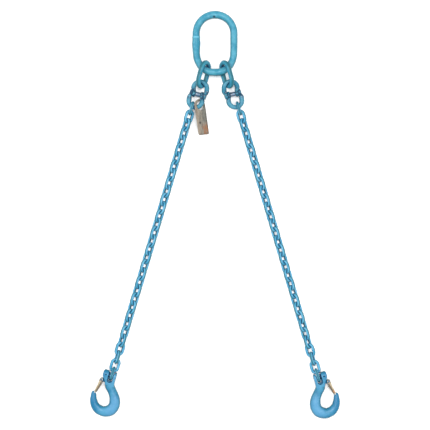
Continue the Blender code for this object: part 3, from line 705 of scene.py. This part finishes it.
def master_mesh():
    """The oblong ring, drawn in towards the sub-links, with its weld and the pressed part of its left leg."""
    points, wide, high = [], [], []
    for p in oblong(MASTER_STRAIGHT, MASTER_RADIUS, 84, 40):
        taper = min(1.0, max(0.0, (-8 * MM - p.y) / (50 * MM)))
        crown = bell(p.x, 0.0, 36 * MM) * (p.y > 0)
        foot = bell(p.x, 0.0, 20 * MM) * (p.y < 0)
        x = p.x * (1.0 - 0.035 * taper * taper * (3 - 2 * taper))
        points.append(Vector((x, p.y + 2.0 * MM * foot, 0.0)))
        left = p.x < 0
        pressed = left * bell(p.y, 0.0, 14 * MM)
        weld = left * bell(p.y, WELD_AT, 2.4 * MM)
        wide.append(MASTER_WIRE * (0.985 + 0.150 * pressed + 0.090 * crown + 0.030 * foot) + 0.9 * MM * weld)
        high.append(MASTER_WIRE * (0.985 - 0.130 * pressed) + 0.8 * MM * weld)
    mesh = sweep(points, wide, high, 56)
    for vertex in mesh.vertices:
        near = (vertex.co - STAMP).length
        vertex.co.z -= 1.1 * MM * math.exp(-((near / (2.6 * MM)) ** 2))
    return rippled(mesh, 0.28 * MM, 9 * MM, 1)


def ring_mesh(straight, radius, wire_radius, weld, steps, sides, seed):
    points = oblong(straight, radius, steps, steps // 3)
    wide = []
    for p in points:
        bead = (p.x < 0) * bell(p.y, 0.0, 1.6 * MM)
        wide.append(wire_radius + weld * bead)
    mesh = sweep(points, wide, wide, sides)
    return rippled(mesh, 0.03 * wire_radius, 1.4 * wire_radius, seed)


# the coupling half's limbs: x, y, half width and half height in mm
OUTER_LIMB = ((-19.4, -0.5, 4.3, 4.6), (-20.8, 6.5, 5.7, 5.2), (-21.8, 13.0, 6.9, 5.9))
INNER_LIMB = ((15.8, 14.2, 6.4, 5.7), (12.9, 8.2, 5.3, 4.8), (11.4, -0.5, 3.9, 4.4))
BOW_OUTWARDS = 0.15  # the real bow's middle lies this far outside the part's, in mm
BOW_SEAT = (6.1, 5.3)
BOW_SIDE = (6.9, 6.1)


def coupling_mesh():
    """A forged half: a bow whose limbs swell into bored lugs."""
    stations = list(OUTER_LIMB)
    for angle in range(-90, 91, 15):
        a = math.radians(angle)
        swell = max(0.0, abs(angle) - 34.0) / 56.0
        radius = BOW_RADIUS / MM + BOW_OUTWARDS
        x, y = BOW_OFFSET / MM + radius * math.sin(a), BOW_STRAIGHT / MM + radius * math.cos(a)
        wide, high = (seat + (side - seat) * swell for seat, side in zip(BOW_SEAT, BOW_SIDE))
        stations.append((x, y, wide, high))
    stations += INNER_LIMB
    path = smooth([Vector(station) * MM for station in stations], 5)
    middle = [Vector((p[0], p[1], 0)) for p in path]
    limbs = sweep(middle, [p[2] for p in path], [p[3] for p in path], 32, False)
    lugs = [
        placed(chamfered_bar(LUG_RADIUS, low * MM, high * MM, 1.4 * MM), turn("Y", 90))
        for low, high in LUG_SPANS
    ]
    mesh = cast(joined(limbs, *lugs), 0.7 * MM, 4)
    bore = placed(chamfered_bar(COUPLING_BORE, -40 * MM, 40 * MM, 0.1 * MM), turn("Y", 90))
    mesh = cast(cut(mesh, bore), 0.45 * MM, 2)
    return rippled(mesh, 0.22 * MM, 6 * MM, 3)


def sleeve_mesh():
    """The spring sleeve that keeps the load pin in, slit along its length."""
    half, outer, inner = 7.1 * MM, 6.3 * MM, 4.5 * MM
    steps = 60
    open_half = math.radians(12)
    verts, faces = [], []
    profile = [(inner, -half), (outer - 0.5 * MM, -half), (outer, -half + 0.5 * MM), (outer, half - 0.5 * MM),
               (outer - 0.5 * MM, half), (inner, half)]
    for i in range(steps + 1):
        a = open_half + (2 * math.pi - 2 * open_half) * i / steps
        verts += [Vector((h, r * math.cos(a), r * math.sin(a))) for r, h in profile]
    size = len(profile)
    for i in range(steps):
        a, b = i * size, (i + 1) * size
        faces += [(a + k, a + (k + 1) % size, b + (k + 1) % size, b + k) for k in range(size)]
    faces += [tuple(range(size))[::-1], tuple(range(steps * size, (steps + 1) * size))]
    return placed(mesh_from(verts, faces), turn("X", 60))


def tag_mesh():
    half = TAG_WIDTH / 2
    top = TAG_HOLE + TAG_RIM
    foot = top - TAG_LENGTH
    corner = 4.5 * MM
    outline = arc((0.0, 0.0), half, 0, 180, 40)
    outline += [Vector((-half, foot * t, 0)) for t in (0.2, 0.4, 0.6, 0.8)]
    outline += arc((-half + corner, foot + corner), corner, 180, 270, 8)
    outline += arc((half - corner, foot + corner), corner, 270, 360, 8)
    outline += [Vector((half, foot * t, 0)) for t in (0.8, 0.6, 0.4, 0.2)]
    plate = prism(outline, -TAG_THICKNESS / 2, TAG_THICKNESS / 2)
    hole = chamfered_bar(TAG_HOLE, -20 * MM, 20 * MM, 0.1 * MM, 64)
    plate = cut(plate, hole)
    # a fine grid to bend and dent
    plate = cast(plate, 0.55 * MM, 1)
    for vertex in plate.vertices:
        run = vertex.co.y / (81 * MM)
        bow = 0.55 * MM * math.sin(2.2 * run) * (run < 0)
        vertex.co.z += bow + 0.35 * MM * (vertex.co.x / half) ** 2 * (run < -0.2)
    return rippled(plate, 0.22 * MM, 13 * MM, 5)


# the hook's middle line: x, y and half width in mm
HOOK_SPINE = (
    (-0.5, -15.0, 10.6), (-2.2, -27.0, 12.6), (-11.8, -38.0, 12.2), (-21.6, -50.3, 13.3),
    (-27.8, -62.5, 14.8), (-30.0, -75.5, 15.3), (-25.2, -89.8, 15.9), (-12.6, -98.5, 14.9),
    (-1.5, -100.5, 13.8), (11.6, -97.2, 13.0), (22.0, -89.0, 11.3), (28.4, -78.5, 9.9),
    (31.7, -68.5, 8.3), (33.3, -62.0, 7.1), (34.1, -58.0, 6.2), (34.7, -55.4, 5.1),
    (35.1, -53.7, 3.6), (35.3, -52.9, 1.4),
)


def hook_mesh():
    """The forging: an oval section swept round the bowl, and a two-eared clevis grown out of its shank."""
    spine = smooth([Vector(s) * MM for s in HOOK_SPINE], 5)
    high = []
    for p in spine:
        towards_tip = min(1.0, max(0.0, (p.y + 78 * MM) / (14 * MM))) * (p.x > 20 * MM)
        high.append(p.z * (HOOK_FLATNESS - 0.12 * towards_tip))
    bowl = sweep([Vector((p.x, p.y, 0)) for p in spine], [p.z for p in spine], high, 44, False, 0.07)
    side_view = [(p.x, p.y * 1.18) for p in arc((0, 0), 11.4 * MM, -20, 200, 30)]
    side_view += [(-9.4 * MM, -28 * MM), (9.4 * MM, -28 * MM)]
    plan = [
        (EAR_INSIDE, 8.5 * MM), (EAR_INSIDE + 1.0 * MM, 11.8 * MM), (EAR_INSIDE + 3.2 * MM, 13.6 * MM),
        (-6.0 * MM, 13.6 * MM), (6.0 * MM, 13.6 * MM), (20.8 * MM, 13.6 * MM), (23.6 * MM, 11.8 * MM),
        (EAR_OUTSIDE, 8.0 * MM), (EAR_OUTSIDE + 0.2 * MM, -1.0 * MM), (22.5 * MM, -7.5 * MM),
        (17.5 * MM, -14.0 * MM), (13.5 * MM, -20.0 * MM), (11.4 * MM, -28.0 * MM), (-14.8 * MM, -28.0 * MM),
        (-13.6 * MM, -20.0 * MM), (EAR_INSIDE, -12.0 * MM),
    ]
    ears = both(placed(prism(side_view, -60 * MM, 60 * MM), turn("Y", -90)), prism(plan, -30 * MM, 30 * MM))
    pivot = Vector((*LATCH_PIVOT, 0.0))
    lug = placed(chamfered_bar(LATCH_LUG, -3.9 * MM, 3.9 * MM, 0.4 * MM), Matrix.Translation(pivot))
    web = prism([(9 * MM, pivot.y - 5.0 * MM), (pivot.x, pivot.y - 4.8 * MM), (pivot.x, pivot.y + 4.8 * MM),
                 (12 * MM, pivot.y + 9 * MM)], -3.8 * MM, 3.8 * MM)
    body = cast(joined(bowl, ears, lug, web), 1.0 * MM, 9)
    # the slot widens towards its mouth, whose inner corners clear the crossed link
    inner, outer = -5.3 * MM, 9.4 * MM
    mouth = [(outer, 8.2 * MM), (9.8 * MM, 22 * MM), (-11.4 * MM, 22 * MM), (inner, 8.2 * MM)]
    floor = arc(((inner + outer) / 2, SLOT_FLOOR), (outer - inner) / 2, 180, 360, 20)
    slot = prism([(p.x, p.y) for p in floor] + mouth, -40 * MM, 40 * MM)
    # a saddle stays across the slot's floor, under the link's crown, and up the ear beside the link; it stands
    # in for the deep shade in the slot, hiding the floor behind it
    corners = [(-9, -26), (13, -26), (13, 10.5), (5.3, 8.5), (5.3, -14.2), (-9, -14.2)]
    shade_saddle = prism([(x * MM, y * MM) for x, y in corners], -3.4 * MM, 3.4 * MM)
    slot = cut(slot, shade_saddle)
    bore = placed(chamfered_bar(4.9 * MM, -50 * MM, 50 * MM, 0.1 * MM), turn("Y", 90))
    cross = chamfered_bar(ROLL_PIN_BORE, -30 * MM, 30 * MM, 0.1 * MM, 24)
    cross = placed(cross, Matrix.Translation((ROLL_PIN_X, 0, 0)))
    eye = placed(chamfered_bar(LATCH_BORE, -15 * MM, 15 * MM, 0.1 * MM, 24), Matrix.Translation(pivot))
    body = cast(cut(body, slot, bore, cross, eye), 0.6 * MM, 3)
    return rippled(body, 0.30 * MM, 9 * MM, 2)


def roll_pin_mesh():
    """A rolled spring pin: a tube with a slit."""
    outer, inner, half = 1.85 * MM, 1.1 * MM, 10.6 * MM
    steps = 28
    gap = math.radians(16)
    verts, faces = [], []
    profile = [(inner, -half), (outer - 0.25 * MM, -half), (outer, -half + 0.4 * MM),
               (outer, half - 0.4 * MM), (outer - 0.25 * MM, half), (inner, half)]
    for i in range(steps + 1):
        a = gap + (2 * math.pi - 2 * gap) * i / steps
        verts += [Vector((r * math.cos(a), r * math.sin(a), h)) for r, h in profile]
    size = len(profile)
    for i in range(steps):
        a, b = i * size, (i + 1) * size
        faces += [(a + k, a + (k + 1) % size, b + (k + 1) % size, b + k) for k in range(size)]
    faces += [tuple(range(size))[::-1], tuple(range(steps * size, (steps + 1) * size))]
    return mesh_from(verts, faces)


def latch_mesh():
    """Bent sheet: two cheeks that straddle the lug and the hook's tip, joined by a web on the throat side."""
    half, sheet = 5.9 * MM, 1.4 * MM
    inner = [(-4.7, -5.0), (-5.4, -10.0), (-5.4, -15.5), (-4.8, -21.5), (-3.9, -27.5), (-2.9, -33.0),
             (-1.4, -38.0)]
    outer = [(0.8, -41.0), (3.4, -41.2), (4.8, -38.6), (4.8, -34.0), (4.6, -28.5), (4.1, -21.5), (3.6, -15.0),
             (4.4, -6.5)]
    root = [(p.x / MM, p.y / MM) for p in arc((0, 0), 4.8 * MM, -20, 195, 20)]
    outline = [Vector((x, y, 0)) * MM for x, y in root]
    outline += smooth([Vector((x, y, 0)) * MM for x, y in inner], 3)
    outline += smooth([Vector((x, y, 0)) * MM for x, y in outer], 3)
    solid = prism([(p.x, p.y) for p in outline], -half, half)
    hollow = [(-12, 14), (14, 14), (14, -46), (-12, -46), (-12, -36.0), (-0.8, -36.0), (-1.5, -33.0),
              (-2.5, -27.6), (-3.4, -21.5), (-4.0, -15.5), (-4.0, -10.0), (-7.5, -8.6), (-12, -8.6)]
    tool = prism([(x * MM, y * MM) for x, y in hollow], -half + sheet, half - sheet)
    eye = chamfered_bar(LATCH_BORE, -15 * MM, 15 * MM, 0.1 * MM, 24)
    return cast(cut(solid, tool, eye), 0.28 * MM, 3)


def latch_pin_mesh():
    top = 12.0 * MM
    return lathe([(0, top), (1.3 * MM, top), (2.2 * MM, top - 0.25 * MM), (2.6 * MM, top - 0.9 * MM),
                  (1.9 * MM, top - 0.95 * MM), (1.9 * MM, -top + 0.95 * MM), (2.6 * MM, -top + 0.9 * MM),
                  (2.2 * MM, -top + 0.25 * MM), (1.3 * MM, -top), (0, -top)], 32)


def latch_spring_mesh():
    """A double torsion spring: a coil on the pin outside each cheek, the two joined under the latch."""
    per_turn, turns = 28, 2.5
    radius, start, pitch = 3.7 * MM, 7.0 * MM, 1.55 * MM
    coil = []
    for i in range(int(per_turn * turns) + 1):
        angle = math.radians(180 + 360 * i / per_turn)
        climb = start + pitch * i / per_turn
        coil.append(Vector((radius * math.cos(angle), radius * math.sin(angle), climb)))
    tail = [coil[-1] + Vector((0.0, -2.0 * MM, 0.1 * MM)),
            coil[-1] + Vector((0.4 * MM, -5.0 * MM, -0.4 * MM))]
    under = -5.4 * MM
    leg = [Vector((under + 1.2 * MM, -4 * MM, start)), Vector((under, -8 * MM, start - 0.1 * MM)),
           Vector((under - 0.4 * MM, -12 * MM, start - 0.3 * MM)),
           Vector((under - 0.5 * MM, -13.4 * MM, start - 1.2 * MM)),
           Vector((under - 0.5 * MM, -13.8 * MM, start - 2.6 * MM))]
    half = smooth([*reversed(tail), *reversed(coil)], 0) + smooth(leg, 3)
    points = half + [Vector((p.x, p.y, -p.z)) for p in reversed(half)]
    return wire(points, 0.7 * MM)


# ---------------------------------------------------------------- assembly

SHIFT = Vector(next(j for j in frame["joints"] if j["name"] == "left_sub_link_swing")["pos_m"])
SHIFT -= sub_wire(LEFT, master_place())
COUNT = [0]


def piece(name, mesh, world, body, nodes, material, sharp=None):
    """One visual piece on its body, standing for its CAD nodes."""
    mesh = mesh.copy()
    mesh.name = name
    own = mesh.attributes.new(OWN_PLACE, "FLOAT_VECTOR", "POINT")
    own.data.foreach_set("vector", [c for v in mesh.vertices for c in v.co])
    # how sideways each vertex faces, kept for the painted shade on the pieces' sides
    side = mesh.attributes.new(SIDE_SHADE_WEIGHT, "FLOAT", "POINT")
    side.data.foreach_set("value", [1.0 - abs(v.normal.z) for v in mesh.vertices])
    mesh.transform(Matrix.Translation(SHIFT) @ world)
    mesh.materials.clear()
    mesh.materials.append(material)
    mesh.shade_smooth()
    if sharp:
        mesh.set_sharp_from_angle(angle=math.radians(sharp))
    thing = bpy.data.objects.new(name, mesh)
    bpy.context.scene.collection.objects.link(thing)
    COUNT[0] += 1
    thing.pass_index = COUNT[0]
    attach(thing, body)
    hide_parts(*nodes)
    return thing


def build_sling():
    paint = blue_paint("blue_enamel", (0.010, 0.150, 0.245), (0.036, 0.215, 0.300), 0.5, 0.95)
    coupling_paint = blue_paint("blue_enamel_coupling", (0.014, 0.140, 0.225), (0.052, 0.205, 0.285),
                                0.8, 1.0, mottled)
    chain_paint = blue_paint("blue_enamel_chain", (0.030, 0.210, 0.360), (0.095, 0.310, 0.465), 0.8, 0.95)
    master_paint = blue_paint("blue_enamel_master", (0.016, 0.170, 0.260), (0.048, 0.235, 0.325),
                              0.5, 0.9, stamped)
    hook_paint = blue_paint("blue_enamel_hook", (0.006, 0.112, 0.215), (0.032, 0.182, 0.300),
                            0.10, 1.0, tip_blue_and_highlights)
    steel = bare_steel("pin_steel", (0.30, 0.31, 0.34), (0.10, 0.09, 0.09), 0.85)
    # dark navy hook pins, whose darkness also stands in for the shade in the hook's slot where the load pin
    # crosses it
    slot_shade_navy = bare_steel("navy_pin_slot_shade", (0.014, 0.050, 0.110), (0.008, 0.026, 0.065))
    bright = bare_steel("spring_steel", (0.36, 0.35, 0.32), (0.22, 0.20, 0.17))
    zinc = latch_zinc("yellow_zinc")
    tag_finish = tag_steel("weathered_tag")

    master = master_place()
    piece("master_ring", master_mesh(), master, "master_link", ["master_link"], master_paint)
    sub = ring_mesh(SUB_STRAIGHT, SUB_RADIUS, SUB_WIRE, 0.5 * MM, 72, 44, 7)
    half = coupling_mesh()
    bar = placed(chamfered_bar(4.2 * MM, -21.4 * MM, 21.6 * MM, 0.6 * MM), turn("Y", 90))
    sleeve = sleeve_mesh()
    hook = hook_mesh()
    load_pin = chamfered_bar(HOOK_PIN, EAR_INSIDE + 1.4 * MM, EAR_OUTSIDE - 1.2 * MM, 0.8 * MM)
    load_pin = placed(load_pin, turn("Y", 90))
    roll_pin, latch, latch_pin, spring = roll_pin_mesh(), latch_mesh(), latch_pin_mesh(), latch_spring_mesh()

    for side, name in SIDES:
        sub_world = sub_place(side, sub_wire(side, master))
        body = f"{name}_sub_link"
        piece(f"{name}_sub_ring", sub, sub_world, body, [body], paint)
        upper, pin, lower = coupling_places(side, sub_world)
        up, down = f"{name}_coupling_upper", f"{name}_coupling_lower"
        piece(f"{up}_forging", half, upper, up, [f"{up}_half"], coupling_paint)
        piece(f"{down}_forging", half, lower, down, [f"{down}_half"], coupling_paint)
        piece(f"{name}_coupling_load_pin", bar, pin, up, [f"{name}_coupling_pin"], steel,
              40)
        piece(f"{name}_coupling_spring_sleeve", sleeve, pin, up, [f"{name}_coupling_sleeve"], steel,
              40)
        if side == LEFT:
            piece("identity_plate", tag_mesh(), tag_place(lower), "identity_tag", ["identity_tag"],
                  tag_finish)
        places, end = chain_places(side, lower)
        length = (link_spacing(side) + 2 * LINK_WIRE) / 2
        link = ring_mesh(length - LINK_RADIUS, LINK_RADIUS, LINK_WIRE, 0.45 * MM, 36, 28, 11)
        for k, (number, world) in enumerate(places):
            body = f"{name}_chain_{number:02d}"
            piece(f"{name}_link_{k + 1:02d}", link, world, body, [body], chain_paint)
        world = hook_place(side, end)
        body = f"{name}_hook"
        piece(f"{name}_hook_forging", hook, world, body, [body], hook_paint)
        piece(f"{name}_clevis_pin", load_pin, world, body, [f"{name}_hook_load_pin"], slot_shade_navy,
              40)
        piece(f"{name}_spring_pin", roll_pin, world @ Matrix.Translation((ROLL_PIN_X, 0, 0)), body,
              [f"{name}_hook_roll_pin"], slot_shade_navy, 40)
        pivot = world @ Matrix.Translation((*LATCH_PIVOT, 0.0))
        hung = pivot @ turn("Z", LATCH_LEAN)
        piece(f"{name}_latch_rivet", latch_pin, pivot, body, [f"{name}_latch_pin"], steel,
              50)
        piece(f"{name}_torsion_spring", spring, hung, body, [f"{name}_latch_spring"], bright)
        piece(f"{name}_latch_sheet", latch, hung, f"{name}_latch", [f"{name}_latch"], zinc)


# ---------------------------------------------------------------- stage


def studio():
    scene = bpy.context.scene
    scene.view_settings.view_transform = "Standard"
    bpy.ops.mesh.primitive_plane_add(size=60.0)
    floor = bpy.context.object
    floor.name = "floor"
    material = bpy.data.materials.new("floor")
    material.use_nodes = True
    shader = material.node_tree.nodes["Principled BSDF"]
    shader.inputs["Base Color"].default_value = (0.93, 0.93, 0.93, 1.0)
    shader.inputs["Roughness"].default_value = 0.9
    shader.inputs["Specular IOR Level"].default_value = 0.1
    floor.data.materials.append(material)

    world = bpy.data.worlds.new("studio")
    world.use_nodes = True
    world.node_tree.nodes["Background"].inputs["Color"].default_value = (1.0, 1.0, 1.0, 1.0)
    world.node_tree.nodes["Background"].inputs["Strength"].default_value = 0.86
    scene.world = world

    for name, place, size, power in (
        ("softbox_top", (0.3, 0.9, 8.0), 3.0, 430.0),
        ("softbox_left", (-4.5, 1.5, 5.0), 2.4, 200.0),
        ("softbox_right", (4.5, -1.0, 5.0), 2.4, 120.0),
    ):
        light = bpy.data.lights.new(name, "AREA")
        light.shape = "DISK"
        light.size = size
        light.energy = power
        holder = bpy.data.objects.new(name, light)
        holder.location = place
        holder.rotation_euler = (-Vector(place)).to_track_quat("-Z", "Y").to_euler()
        scene.collection.objects.link(holder)

    lens = bpy.data.cameras.new("camera")
    lens.lens = FOCAL_LENGTH
    lens.sensor_width = SENSOR_WIDTH
    camera = bpy.data.objects.new("camera", lens)
    width = IMAGE_WIDTH * VIEW_SCALE
    camera.location = (0.0, CAMERA_DOWN, width / 2 / (lens.sensor_width / 2 / lens.lens) + CAMERA_LIFT)
    scene.collection.objects.link(camera)
    scene.camera = camera


build_sling()
studio()
